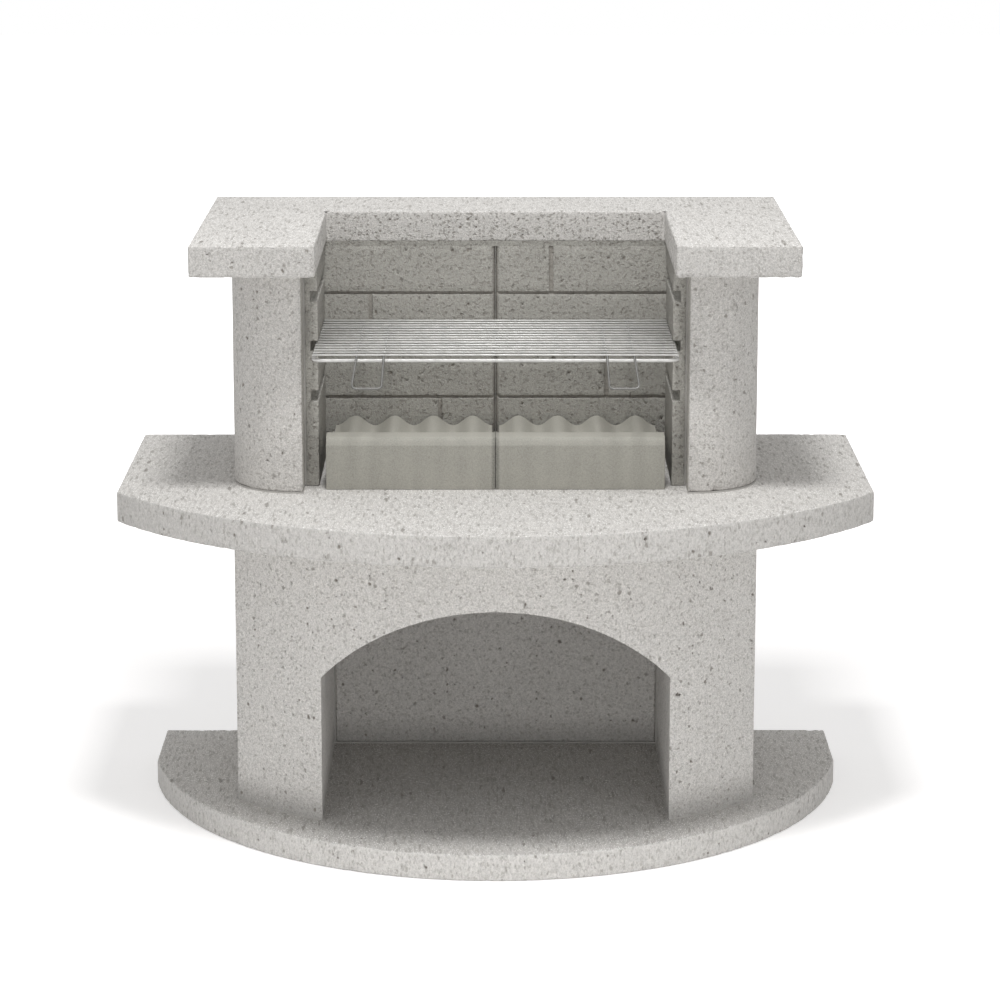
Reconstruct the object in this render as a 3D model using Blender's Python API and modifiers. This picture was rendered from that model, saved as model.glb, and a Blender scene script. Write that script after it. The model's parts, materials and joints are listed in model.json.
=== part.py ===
"""Outdoor masonry barbecue: precast blocks bonded on a round-fronted slab, a fireclay-lined
fire chamber with two ribbed charcoal trays, and a wire rack that slides in grooves.

Metres, +Z up. The origin is on the ground, at the middle of the footprint. The front faces -Y.
Depths are measured forward from the flat rear plane that all the blocks share.
"""
import math

import bmesh
import bpy
from mathutils import Matrix, Vector

# Fits and edges
GAP = 0.0003              # space left between two pieces that touch
JOINT = 0.002             # space between two bonded blocks, filled by an adhesive bed
BED_RECESS = 0.003        # adhesive held back from the visible faces
EDGE_ROUND = 0.002        # rounded arris of every precast block
OVERRUN = 0.010           # how far a cutter runs past the face that it opens

# Lower body with the wood store
BODY_HALF = 0.3935        # half the outer width, shared with the columns above
BODY_HEIGHT = 0.443
BODY_SIDE = 0.393         # rear plane to the corners of the bowed front
BOW_RISE = 0.166          # how far the middle of the front stands forward of its corners
FRONT_WALL = 0.070        # thickness of the bowed wall
STORE_HALF = 0.260        # half the width of the arch and of the store behind it
LOWER_BACK_WALL = 0.080
ARCH_SPRING = 0.220       # foot of the wall to the spring of the arch
ARCH_RISE = 0.1165

# Ground slab
BASE_LEDGE = 0.1445       # how far the slab stands out at each side of the body
BASE_FRONT_LEDGE = 0.103
BASE_SIDE = 0.171         # rear plane to where its rounded front starts
BASE_OVAL_LEDGE = 0.0077  # how far the oval of that front would pass the slab's sides
BASE_THICK = 0.040

# Worktop
SHELF = 0.1705            # how far the worktop stands out at each side of the body
WORKTOP_RISE = 0.299      # how far its middle stands forward of its side corners
WORKTOP_FRONT_LEDGE = 0.1785
WORKTOP_THICK = 0.047

# Fire chamber
COLUMN_WIDTH = 0.1085
COLUMN_DEPTH = 0.4535
COLUMN_ROUND = 0.100      # radius of the outer front corner
COLUMN_HEIGHT = 0.3335
UPPER_BACK_WALL = 0.130
LINING_CLEARANCE = 0.001  # expansion space above the fireclay
SIDE_LINING_THICK = 0.0195
SIDE_LINING_SETBACK = 0.055  # side lining behind the front of the column
BACK_LINING_THICK = 0.048
SEAM_ROUND = 0.005        # eased edges of the two back panels
PANEL_SEAM = 0.001        # gap between the two back panels

# Scored joints of the back lining
COURSE = 0.0815
TOP_COURSE = 0.079        # the course under the cover is cut a little short
SCORE_WIDTH = 0.004
SCORE_DEPTH = 0.004
UPRIGHT_SCORE_WIDTH = 0.006
UPRIGHT_SCORE_DEPTH = 0.002
UPRIGHT_SCORE_LAP = 0.00125  # how far an upright score runs into the level scores
NEAR_UPRIGHT = 0.086      # middle seam to the nearer upright scores
LEFT_FAR_UPRIGHT = 0.193
RIGHT_FAR_UPRIGHT = 0.172

# Rack grooves in the side lining
GROOVE_HEIGHT = 0.016
GROOVE_DEPTH = 0.0115
GROOVE_FLOOR = 0.129      # worktop to the floor of the lowest groove
GROOVE_PITCH = 0.075
GROOVE_COUNT = 3
RACK_GROOVE = 1           # the groove that holds the rack, counted from the lowest

# Cover slab
COVER_OVERHANG = 0.0485   # past the outer face of the columns
COVER_FRONT_OVERHANG = 0.0955
COVER_THICK = 0.0465
NOTCH_LIP = 0.0035        # how far the wings reach in over the side lining
BRIDGE_LIP = 0.0015       # how far the rear of the cover reaches past the back lining

# Charcoal trays
TRAY_SIDE_CLEARANCE = 0.011
TRAY_SPACE = 0.0008       # gap between the two trays
TRAY_SETBACK = 0.0285     # front of the trays behind the front of the columns
TRAY_REAR_CLEARANCE = 0.004
RIM_HEIGHT = 0.0775
RIM_DEPTH = 0.047
RIM_CHAMFER_DEPTH = 0.008
RIM_CHAMFER_HEIGHT = 0.011
RIM_BACK_SLOPE = 0.005
RIB_COUNT = 4
RIB_CREST = 0.0655
RIB_VALLEY = 0.050
TRAY_MARGIN = 0.005       # flat strip outside the outer ribs
TRAY_MARGIN_HEIGHT = 0.0405
RIB_SHOULDER = 0.003      # slope between the outer ribs and that strip

# Wire rack
RACK_SIDE_PLAY = 0.0055   # frame to the bottom of the groove
RACK_FORWARD = 0.038      # middle of the front rod past the front of the columns
RACK_REAR_CLEARANCE = 0.003
ROD = 0.0055              # frame rod diameter
RACK_CORNER = 0.014
CROSS_WIRE = 0.003
CROSS_WIRE_COUNT = 15
CROSS_WIRE_INSET = 0.002  # cross wire end to the outside of the frame
LONG_WIRE = 0.0035
HANDLE_INSET = 0.0653     # outer leg of a handle in from the end of the rack
HANDLE_WIDTH = 0.041
HANDLE_INNER_SPLAY = 0.003
HANDLE_OUTER_SPLAY = 0.007
HANDLE_REACH = 0.026      # how far the grip stands forward of the front rod
HANDLE_DROP = 0.037       # how far the grip hangs below the front rod
HANDLE_CORNER = 0.006
WRAP_CLEARANCE = 0.0007   # handle wire to the front rod that it passes over

# Smoothness of the round shapes
SLAB_STEPS = 56
BOW_STEPS = 44
ARCH_STEPS = 36
CORNER_STEPS = 12
RIB_STEPS = 8             # faces across half a rib
WIRE_BEND_STEPS = 4       # straight runs in each bend of a wire


def bow_radius(half, rise):
    """Radius of an arc that rises this far over this half width."""
    return (half ** 2 + rise ** 2) / (2 * rise)


# Heights, worked out from the sizes above
BODY_FOOT = BASE_THICK + JOINT
BODY_TOP = BODY_FOOT + BODY_HEIGHT
WORKTOP_FOOT = BODY_TOP + JOINT
WORKTOP_TOP = WORKTOP_FOOT + WORKTOP_THICK
COLUMN_FOOT = WORKTOP_TOP + JOINT
COLUMN_TOP = COLUMN_FOOT + COLUMN_HEIGHT
COVER_FOOT = COLUMN_TOP + JOINT
LINING_FOOT = WORKTOP_TOP + GAP
LINING_TOP = COVER_FOOT - LINING_CLEARANCE

# Places in plan, worked out from the sizes above
BODY_DEPTH = BODY_SIDE + BOW_RISE
BOW_RADIUS = bow_radius(BODY_HALF, BOW_RISE)
BASE_HALF = BODY_HALF + BASE_LEDGE
BASE_DEPTH = BODY_DEPTH + BASE_FRONT_LEDGE
WORKTOP_HALF = BODY_HALF + SHELF
WORKTOP_DEPTH = BODY_DEPTH + WORKTOP_FRONT_LEDGE
COLUMN_INNER = BODY_HALF - COLUMN_WIDTH
LINING_INNER = COLUMN_INNER - JOINT - SIDE_LINING_THICK
BACK_LINING_REAR = UPPER_BACK_WALL + JOINT
CHAMBER_BACK = BACK_LINING_REAR + BACK_LINING_THICK
COVER_DEPTH = COLUMN_DEPTH + COVER_FRONT_OVERHANG
TRAY_WIDTH = LINING_INNER - TRAY_SIDE_CLEARANCE - TRAY_SPACE / 2
TRAY_FRONT = COLUMN_DEPTH - TRAY_SETBACK
REAR = max(WORKTOP_DEPTH, BASE_DEPTH, COVER_DEPTH) / 2

SIDES = (("left", -1), ("right", 1))


def clear_scene():
    for item in list(bpy.data.objects):
        bpy.data.objects.remove(item, do_unlink=True)


def new_collection(name):
    made = bpy.data.collections.new(name)
    bpy.context.scene.collection.children.link(made)
    return made


def new_material(name, colour, roughness, metallic=0.0):
    made = bpy.data.materials.new(name)
    made.use_nodes = True
    shader = made.node_tree.nodes["Principled BSDF"]
    shader.inputs["Base Color"].default_value = (*colour, 1.0)
    shader.inputs["Roughness"].default_value = roughness
    shader.inputs["Metallic"].default_value = metallic
    return made


clear_scene()
PARTS = new_collection("masonry_barbecue")
CUTTERS = new_collection("cutters")

CONCRETE = new_material("pale_concrete", (0.60, 0.585, 0.555), 0.90)
FIRECLAY = new_material("lining_fireclay", (0.36, 0.35, 0.33), 0.88)
TRAY_CLAY = new_material("tray_fireclay", (0.40, 0.395, 0.36), 0.80)
ADHESIVE = new_material("stone_adhesive", (0.48, 0.465, 0.44), 0.95)
CHROME = new_material("chromed_wire", (0.80, 0.80, 0.79), 0.22, 1.0)


# Outlines in plan: x to the right, y forward from the rear plane as a negative number

def arc(centre, radius, start, end, steps):
    """Points on an arc. Angles are measured from straight forward, positive towards +X."""
    turns = [start + (end - start) * step / steps for step in range(steps + 1)]
    return [(centre[0] + radius * math.sin(turn), centre[1] - radius * math.cos(turn))
            for turn in turns]


def reach_angle(half, radius):
    """Angle at which an arc of this radius is this far from its middle."""
    return math.asin(min(half / radius, 1.0))


def round_front(half, radius, depth, steps):
    """A slab with a straight rear and sides, and a front bowed to a radius."""
    sweep = reach_angle(half, radius)
    return [(-half, 0.0), (half, 0.0)] + arc((0.0, radius - depth), radius, sweep, -sweep, steps)


def oval_front(half, side, oval_half, depth, steps):
    """A slab with a straight rear and sides, and a front that follows part of an oval."""
    sweep = reach_angle(half, oval_half)
    reach = (depth - side) / (1 - math.cos(sweep))
    turns = [sweep - 2 * sweep * step / steps for step in range(steps + 1)]
    front = [(oval_half * math.sin(turn), reach * (1 - math.cos(turn)) - depth) for turn in turns]
    return [(-half, 0.0), (half, 0.0)] + front


def mirrored(outline, side):
    return [(side * x, y) for x, y in outline]


def column_outline(inset):
    """The right column, its faces moved inwards by the inset."""
    outer = BODY_HALF - inset
    inner = COLUMN_INNER + inset
    radius = min(COLUMN_ROUND, COLUMN_WIDTH - 2 * EDGE_ROUND)
    centre = (BODY_HALF - radius, radius - COLUMN_DEPTH)
    corner = arc(centre, radius - inset, math.pi / 2, 0.0, CORNER_STEPS)
    return [(inner, -inset), (outer, -inset)] + corner + [(inner, inset - COLUMN_DEPTH)]


def bow_edge(radius, outer, inner, steps):
    """The part of the bowed front from one distance off the middle to another."""
    centre = (0.0, BOW_RADIUS - BODY_DEPTH)
    return arc(centre, radius, math.asin(outer / radius), math.asin(inner / radius), steps)


def place(item, collection, material=None):
    collection.objects.link(item)
    if material is not None:
        item.data.materials.append(material)
    return item


def curve_object(name, dimensions):
    data = bpy.data.curves.new(name, "CURVE")
    data.dimensions = dimensions
    return bpy.data.objects.new(name, data)


def add_spline(item, points, closed):
    spline = item.data.splines.new("POLY")
    spline.points.add(len(points) - 1)
    for target, point in zip(spline.points, points):
        target.co = (*point, 1.0) if len(point) == 3 else (*point, 0.0, 1.0)
    spline.use_cyclic_u = closed


def as_mesh(item, weld):
    """A mesh object in place of a curve, its caps welded and its flat faces whole."""
    depsgraph = bpy.context.evaluated_depsgraph_get()
    depsgraph.update()
    data = bpy.data.meshes.new_from_object(item.evaluated_get(depsgraph))
    shape = bmesh.new()
    shape.from_mesh(data)
    bmesh.ops.remove_doubles(shape, verts=shape.verts, dist=weld)
    bmesh.ops.dissolve_limit(shape, angle_limit=math.radians(0.05), verts=shape.verts,
                             edges=shape.edges)
    bmesh.ops.recalc_face_normals(shape, faces=shape.faces)
    shape.to_mesh(data)
    shape.free()
    name, placing, homes = item.name, item.matrix_world.copy(), item.users_collection
    curve = item.data
    bpy.data.objects.remove(item, do_unlink=True)
    bpy.data.curves.remove(curve)
    made = bpy.data.objects.new(name, data)
    made.matrix_world = placing
    for home in homes:
        home.objects.link(made)
    return made


def plate(name, outlines, foot, top, material, collection=PARTS):
    """A flat block from plan outlines; an outline inside another is a hole."""
    item = curve_object(name, "2D")
    item.data.fill_mode = "BOTH"
    item.data.extrude = (top - foot) / 2
    for outline in outlines:
        add_spline(item, outline, True)
    place(item, collection, material)
    item.location = (0.0, REAR, (foot + top) / 2)
    bpy.context.view_layer.update()
    return as_mesh(item, GAP / 10)


def box(name, low, high, material, collection=PARTS):
    """A block between two corners given in the frame's own coordinates."""
    size = Vector(high) - Vector(low)
    data = bpy.data.meshes.new(name)
    shape = bmesh.new()
    bmesh.ops.create_cube(shape, size=1.0, matrix=Matrix.Diagonal((*size, 1.0)))
    shape.to_mesh(data)
    shape.free()
    item = bpy.data.objects.new(name, data)
    item.location = (Vector(low) + Vector(high)) / 2
    return place(item, collection, material)


def ease(item, width, segments=1):
    """Round the sharp edges."""
    made = item.modifiers.new("rounded edges", "BEVEL")
    made.width = width
    made.segments = segments
    made.limit_method = "ANGLE"
    made.angle_limit = math.radians(30)
    return item


def cut(item, cutter):
    """Take the cutter's shape out of the item."""
    cutter.hide_render = True
    cutter.display_type = "WIRE"
    made = item.modifiers.new("cut " + cutter.name, "BOOLEAN")
    made.operation = "DIFFERENCE"
    made.solver = "EXACT"
    made.object = cutter
    return item


def wire(name, path, diameter, material, closed=False, parent=None):
    """A round wire along a path."""
    item = curve_object(name, "3D")
    item.data.bevel_depth = diameter / 2
    item.data.bevel_resolution = 2
    item.data.use_fill_caps = True
    add_spline(item, path, closed)
    place(item, PARTS, material)
    item.parent = parent
    return item


# Ground slab: one casting with a rounded front, bedded on the ground

ease(plate("base_slab", [oval_front(BASE_HALF, BASE_SIDE, BASE_HALF + BASE_OVAL_LEDGE,
                                    BASE_DEPTH, SLAB_STEPS)],
           0.0, BASE_THICK, CONCRETE), EDGE_ROUND)


# Lower body: a bowed front wall with the arch, two side blocks and a back wall

def front_wall():
    inner_radius = BOW_RADIUS - FRONT_WALL
    outline = (bow_edge(BOW_RADIUS, BODY_HALF, -BODY_HALF, BOW_STEPS)
               + bow_edge(inner_radius, -BODY_HALF, BODY_HALF, BOW_STEPS))
    wall = plate("lower_front_wall", [outline], BODY_FOOT, BODY_TOP, CONCRETE)
    arch_radius = bow_radius(STORE_HALF, ARCH_RISE)
    crown = ARCH_SPRING + ARCH_RISE
    sweep = reach_angle(STORE_HALF, arch_radius)
    head = [(x, crown - arch_radius - y)
            for x, y in arc((0.0, 0.0), arch_radius, sweep, -sweep, ARCH_STEPS)]
    opening = curve_object("arch_cutter", "2D")
    opening.data.fill_mode = "BOTH"
    opening.data.extrude = BODY_DEPTH / 2
    add_spline(opening, [(-STORE_HALF, -OVERRUN), (STORE_HALF, -OVERRUN)] + head, True)
    place(opening, CUTTERS)
    opening.rotation_euler = (math.pi / 2, 0.0, 0.0)
    opening.location = (0.0, REAR - BODY_DEPTH, BODY_FOOT)
    bpy.context.view_layer.update()
    return ease(cut(wall, as_mesh(opening, GAP / 10)), EDGE_ROUND)


def side_block(name, side):
    radius = BOW_RADIUS - FRONT_WALL - JOINT
    outline = [(STORE_HALF, 0.0), (BODY_HALF, 0.0)]
    outline += bow_edge(radius, BODY_HALF, STORE_HALF, CORNER_STEPS)
    return ease(plate("lower_side_" + name, [mirrored(outline, side)], BODY_FOOT, BODY_TOP,
                      CONCRETE), EDGE_ROUND)


front_wall()
for name, side in SIDES:
    side_block(name, side)
ease(box("lower_back_wall", (JOINT - STORE_HALF, REAR - LOWER_BACK_WALL, BODY_FOOT),
         (STORE_HALF - JOINT, REAR, BODY_TOP), CONCRETE), EDGE_ROUND)


# Worktop: one casting with a bowed front, standing out all round

ease(plate("worktop", [round_front(WORKTOP_HALF, bow_radius(WORKTOP_HALF, WORKTOP_RISE),
                                   WORKTOP_DEPTH, SLAB_STEPS)],
           WORKTOP_FOOT, WORKTOP_TOP, CONCRETE), EDGE_ROUND)


# Fire chamber: two columns with a rounded outer corner, and the wall between them

for name, side in SIDES:
    ease(plate("column_" + name, [mirrored(column_outline(0.0), side)], COLUMN_FOOT,
               COLUMN_TOP, CONCRETE), EDGE_ROUND)
ease(box("upper_back_wall", (JOINT - COLUMN_INNER, REAR - UPPER_BACK_WALL, COLUMN_FOOT),
         (COLUMN_INNER - JOINT, REAR, COLUMN_TOP), CONCRETE), EDGE_ROUND)


# Cover slab: one U-shaped casting whose notch lets the smoke out over the fire

def cover_outline():
    outer = BODY_HALF + COVER_OVERHANG
    notch = LINING_INNER - NOTCH_LIP
    right = [(outer, 0.0), (outer, -COVER_DEPTH), (notch, -COVER_DEPTH),
             (notch, -CHAMBER_BACK - BRIDGE_LIP)]
    return right + mirrored(right[::-1], -1)


ease(plate("cover_slab", [cover_outline()], COVER_FOOT, COVER_FOOT + COVER_THICK, CONCRETE),
     EDGE_ROUND)


# Adhesive: thin beds between the blocks, held back from the visible faces

def base_bed_outline():
    """Follows the foot of the lower body, open at the arch."""
    inner = STORE_HALF + BED_RECESS
    back = BED_RECESS - LOWER_BACK_WALL
    right = [(BODY_HALF - BED_RECESS, -BED_RECESS)]
    right += bow_edge(BOW_RADIUS - BED_RECESS, BODY_HALF - BED_RECESS, inner, CORNER_STEPS)
    right += [(inner, back)]
    return right + mirrored(right[::-1], -1)


def worktop_bed_outlines():
    """Follows the head of the lower body, with a hole over the store."""
    inner = STORE_HALF + BED_RECESS
    back = BED_RECESS - LOWER_BACK_WALL
    half = BODY_HALF - BED_RECESS
    outside = [(-half, -BED_RECESS), (half, -BED_RECESS)]
    outside += bow_edge(BOW_RADIUS - BED_RECESS, half, -half, BOW_STEPS)
    inside = [(-inner, back), (inner, back)]
    inside += bow_edge(BOW_RADIUS - FRONT_WALL + BED_RECESS, inner, -inner, BOW_STEPS)
    return [outside, inside]


def chamber_bed_outline():
    """Follows the two columns and the wall between them."""
    right = column_outline(BED_RECESS)[1:]
    right += [(COLUMN_INNER + BED_RECESS, BED_RECESS - UPPER_BACK_WALL)]
    return right + mirrored(right[::-1], -1)


for name, outlines, foot in (("base_bed", [base_bed_outline()], BASE_THICK),
                             ("worktop_bed", worktop_bed_outlines(), BODY_TOP),
                             ("column_bed", [chamber_bed_outline()], WORKTOP_TOP),
                             ("cover_bed", [chamber_bed_outline()], COLUMN_TOP)):
    plate(name, outlines, foot + GAP, foot + JOINT - GAP, ADHESIVE)


def upright_bed(name, side):
    """Adhesive in the upright joint between a side block and the bowed wall."""
    inner_radius = BOW_RADIUS - FRONT_WALL - JOINT + GAP
    outer_radius = BOW_RADIUS - FRONT_WALL - GAP
    outer = BODY_HALF - BED_RECESS
    inner = STORE_HALF + BED_RECESS
    outline = bow_edge(outer_radius, outer, inner, CORNER_STEPS)
    outline += bow_edge(inner_radius, inner, outer, CORNER_STEPS)
    return plate("front_joint_" + name, [mirrored(outline, side)], BODY_FOOT + BED_RECESS,
                 BODY_TOP - BED_RECESS, ADHESIVE)


def wall_joint(name, side, half, depth, foot, top):
    """Adhesive in the upright joint at the end of a back wall."""
    near, far = sorted((side * (half - JOINT + GAP), side * (half - GAP)))
    return box(name, (near, REAR - depth + BED_RECESS, foot + BED_RECESS),
               (far, REAR - BED_RECESS, top - BED_RECESS), ADHESIVE)


for name, side in SIDES:
    upright_bed(name, side)
    wall_joint("lower_joint_" + name, side, STORE_HALF, LOWER_BACK_WALL, BODY_FOOT, BODY_TOP)
    wall_joint("upper_joint_" + name, side, COLUMN_INNER, UPPER_BACK_WALL, COLUMN_FOOT,
               COLUMN_TOP)


# Side lining: a fireclay panel on each column, with three grooves for the rack

def groove_floor(index):
    return WORKTOP_TOP + GROOVE_FLOOR + index * GROOVE_PITCH


def side_lining(name, side):
    inner, outer = side * LINING_INNER, side * (LINING_INNER + SIDE_LINING_THICK)
    low_x, high_x = sorted((inner, outer))
    front = REAR - COLUMN_DEPTH + SIDE_LINING_SETBACK
    back = REAR - CHAMBER_BACK - GAP
    panel = box("side_lining_" + name, (low_x, front, LINING_FOOT), (high_x, back, LINING_TOP),
                FIRECLAY)
    for index in range(GROOVE_COUNT):
        floor = groove_floor(index)
        near, far = sorted((side * (LINING_INNER - OVERRUN), side * (LINING_INNER + GROOVE_DEPTH)))
        cutter = box(f"groove_cutter_{name}_{index}", (near, front - OVERRUN, floor),
                     (far, back + OVERRUN, floor + GROOVE_HEIGHT), None, CUTTERS)
        cut(panel, cutter)
    near, far = sorted((outer + side * GAP, side * (COLUMN_INNER - GAP)))
    box("side_mortar_" + name, (near, front + BED_RECESS, LINING_FOOT + BED_RECESS),
        (far, back, LINING_TOP - BED_RECESS), ADHESIVE)
    return panel


for name, side in SIDES:
    side_lining(name, side)


# Back lining: two fireclay panels with eased edges, scored to look like courses of brick

def course_head(index):
    """Level of the top of a course, counted from the cover down."""
    return LINING_TOP - (TOP_COURSE + (index - 1) * COURSE if index else 0.0)


def back_lining(name, side, uprights):
    """A panel with upright scores given as (course from the top, distance from the seam)."""
    near, far = sorted((side * PANEL_SEAM / 2, side * (COLUMN_INNER - GAP)))
    face = REAR - CHAMBER_BACK
    panel = box("back_lining_" + name, (near, face, LINING_FOOT),
                (far, face + BACK_LINING_THICK, LINING_TOP), FIRECLAY)
    ease(panel, SEAM_ROUND)
    courses = int((LINING_TOP - LINING_FOOT) / COURSE)
    for index in range(1, courses):
        level = course_head(index)
        cut(panel, box(f"score_cutter_{name}_{index}",
                       (near - OVERRUN, face - OVERRUN, level - SCORE_WIDTH / 2),
                       (far + OVERRUN, face + SCORE_DEPTH, level + SCORE_WIDTH / 2),
                       None, CUTTERS))
    for index, distance in uprights:
        top = course_head(index)
        foot = LINING_FOOT if index == courses - 1 else course_head(index + 1)
        middle = side * distance
        cut(panel, box(f"upright_cutter_{name}_{index}",
                       (middle - UPRIGHT_SCORE_WIDTH / 2, face - OVERRUN,
                        foot - UPRIGHT_SCORE_LAP),
                       (middle + UPRIGHT_SCORE_WIDTH / 2, face + UPRIGHT_SCORE_DEPTH,
                        top + UPRIGHT_SCORE_LAP), None, CUTTERS))
    return panel


back_lining("left", -1, ((1, LEFT_FAR_UPRIGHT), (3, NEAR_UPRIGHT)))
back_lining("right", 1, ((0, NEAR_UPRIGHT), (2, RIGHT_FAR_UPRIGHT)))
box("back_mortar", (GAP - COLUMN_INNER + BED_RECESS, REAR - BACK_LINING_REAR + GAP,
                    LINING_FOOT + BED_RECESS),
    (COLUMN_INNER - GAP - BED_RECESS, REAR - UPPER_BACK_WALL - GAP, LINING_TOP - BED_RECESS),
    ADHESIVE)


# Charcoal trays: fireclay blocks with a high front rim and ribs that run front to back

def rib_height(across, ribbed_half):
    """Height of the ribbed top at a distance from the tray's middle."""
    if abs(across) > ribbed_half + RIB_SHOULDER / 2:
        return TRAY_MARGIN_HEIGHT
    wave = 0.5 - 0.5 * math.cos(math.pi * RIB_COUNT * (across / ribbed_half + 1))
    return RIB_VALLEY + (RIB_CREST - RIB_VALLEY) * wave


def tray(name, side):
    """A grid shaped into the tray's top, then drawn down to its flat underside."""
    length = TRAY_FRONT - CHAMBER_BACK - TRAY_REAR_CLEARANCE
    ribbed_half = TRAY_WIDTH / 2 - TRAY_MARGIN
    steps = 2 * RIB_COUNT * RIB_STEPS
    ribs = [ribbed_half * (2 * step / steps - 1) for step in range(steps + 1)]
    shoulder = ribbed_half + RIB_SHOULDER
    across = [-TRAY_WIDTH / 2, -shoulder] + ribs + [shoulder, TRAY_WIDTH / 2]
    along = [0.0, RIM_CHAMFER_DEPTH, RIM_DEPTH, RIM_DEPTH + RIM_BACK_SLOPE, length]
    rim = [RIM_HEIGHT - RIM_CHAMFER_HEIGHT, RIM_HEIGHT, RIM_HEIGHT]
    shape = bmesh.new()
    bmesh.ops.create_grid(shape, x_segments=len(across) - 1, y_segments=len(along) - 1, size=0.5)
    for vert in shape.verts:
        column = round((vert.co.x + 0.5) * (len(across) - 1))
        row = round((vert.co.y + 0.5) * (len(along) - 1))
        height = rim[row] if row < len(rim) else rib_height(across[column], ribbed_half)
        vert.co = (across[column], along[row], height)
    border = [edge for edge in shape.edges if edge.is_boundary]
    skirt = bmesh.ops.extrude_edge_only(shape, edges=border)["geom"]
    for vert in (item for item in skirt if isinstance(item, bmesh.types.BMVert)):
        vert.co.z = 0.0
    bmesh.ops.contextual_create(shape, geom=[item for item in skirt
                                             if isinstance(item, bmesh.types.BMEdge)])
    bmesh.ops.recalc_face_normals(shape, faces=shape.faces)
    data = bpy.data.meshes.new("fire_tray_" + name)
    shape.to_mesh(data)
    shape.free()
    item = bpy.data.objects.new("fire_tray_" + name, data)
    item.location = (side * (TRAY_SPACE + TRAY_WIDTH) / 2, REAR - TRAY_FRONT, WORKTOP_TOP + GAP)
    return place(item, PARTS, TRAY_CLAY)


for name, side in SIDES:
    tray(name, side)


# Wire rack: a frame rod, long wires that lie on it and end in grips, and cross wires on top

ROD_LEVEL = GAP + ROD / 2
LONG_WIRE_LEVEL = ROD_LEVEL + ROD / 2 + GAP + LONG_WIRE / 2
CROSS_WIRE_LEVEL = LONG_WIRE_LEVEL + LONG_WIRE / 2 + GAP + CROSS_WIRE / 2
RACK_HALF = LINING_INNER + GROOVE_DEPTH - RACK_SIDE_PLAY
RACK_REAR = CHAMBER_BACK + RACK_REAR_CLEARANCE + ROD / 2
FRONT_ROD_AT = RACK_REAR - COLUMN_DEPTH - RACK_FORWARD


def rounded_path(points, radius, closed=False):
    """The path with its corners turned into arcs of the radius."""
    points = [Vector(point) for point in points]
    count = len(points)
    made = []
    for index, corner in enumerate(points):
        if not closed and index in (0, count - 1):
            made.append(corner)
            continue
        before = (points[index - 1] - corner).normalized()
        after = (points[(index + 1) % count] - corner).normalized()
        half_angle = before.angle(after) / 2
        reach = radius / math.tan(half_angle)
        centre = corner + (before + after).normalized() * (radius / math.sin(half_angle))
        start = corner + before * reach - centre
        end = corner + after * reach - centre
        turn = start.angle(end)
        for step in range(WIRE_BEND_STEPS + 1):
            share = step / WIRE_BEND_STEPS
            blend = (start * math.sin((1 - share) * turn) + end * math.sin(share * turn))
            made.append(centre + blend / math.sin(turn))
    return [tuple(point) for point in made]


rack_anchor = bpy.data.objects.new("rack_slide", None)
PARTS.objects.link(rack_anchor)
rack_anchor.location = (0.0, REAR - RACK_REAR, groove_floor(RACK_GROOVE))


def rack_frame():
    half = RACK_HALF - ROD / 2
    corners = [(-half, 0.0, ROD_LEVEL), (half, 0.0, ROD_LEVEL),
               (half, FRONT_ROD_AT, ROD_LEVEL), (-half, FRONT_ROD_AT, ROD_LEVEL)]
    loop = rounded_path(corners, RACK_CORNER, closed=True)
    return wire("rack_frame", loop, ROD, CHROME, closed=True, parent=rack_anchor)


def cross_wire(index):
    """One of the straight wires that carry the food, counted from the rear."""
    half = RACK_HALF - CROSS_WIRE_INSET
    item = wire(f"rack_wire_{index + 1:02d}", [(-half, 0.0, 0.0), (half, 0.0, 0.0)],
                CROSS_WIRE, CHROME, parent=rack_anchor)
    item.location = (0.0, FRONT_ROD_AT * index / (CROSS_WIRE_COUNT - 1), CROSS_WIRE_LEVEL)
    return item


def handle(name, side):
    """One wire: along the rack, over the front rod, down to the grip and back again."""
    wrap = (ROD + LONG_WIRE) / 2 + WRAP_CLEARANCE
    outer = side * (RACK_HALF - HANDLE_INSET)
    inner = outer - side * HANDLE_WIDTH
    grip_at = FRONT_ROD_AT - HANDLE_REACH
    grip_level = ROD_LEVEL - HANDLE_DROP
    fall = math.atan2(HANDLE_DROP, HANDLE_REACH - wrap)
    turns = [fall * step / WIRE_BEND_STEPS for step in range(WIRE_BEND_STEPS + 1)]
    over = [(FRONT_ROD_AT - wrap * math.sin(turn), ROD_LEVEL + wrap * math.cos(turn))
            for turn in turns]
    lead = [(0.0, LONG_WIRE_LEVEL), (FRONT_ROD_AT + 2 * ROD, LONG_WIRE_LEVEL)] + over
    leg_in = [(inner, *point) for point in lead]
    leg_out = [(outer, *point) for point in lead]
    grip = [leg_in[-1], (inner + side * HANDLE_INNER_SPLAY, grip_at, grip_level),
            (outer + side * HANDLE_OUTER_SPLAY, grip_at, grip_level), leg_out[-1]]
    bend = rounded_path(grip, HANDLE_CORNER)[1:-1]
    path = leg_in + bend + leg_out[::-1]
    return wire("rack_handle_" + name, path, LONG_WIRE, CHROME, parent=rack_anchor)


rack_frame()
for index in range(CROSS_WIRE_COUNT):
    cross_wire(index)
for name, side in SIDES:
    handle(name, side)
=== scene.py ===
"""Outdoor masonry barbecue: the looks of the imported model."""
import json
import math
import random

import bmesh
import bpy
from mathutils import Matrix, Vector, noise


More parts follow.
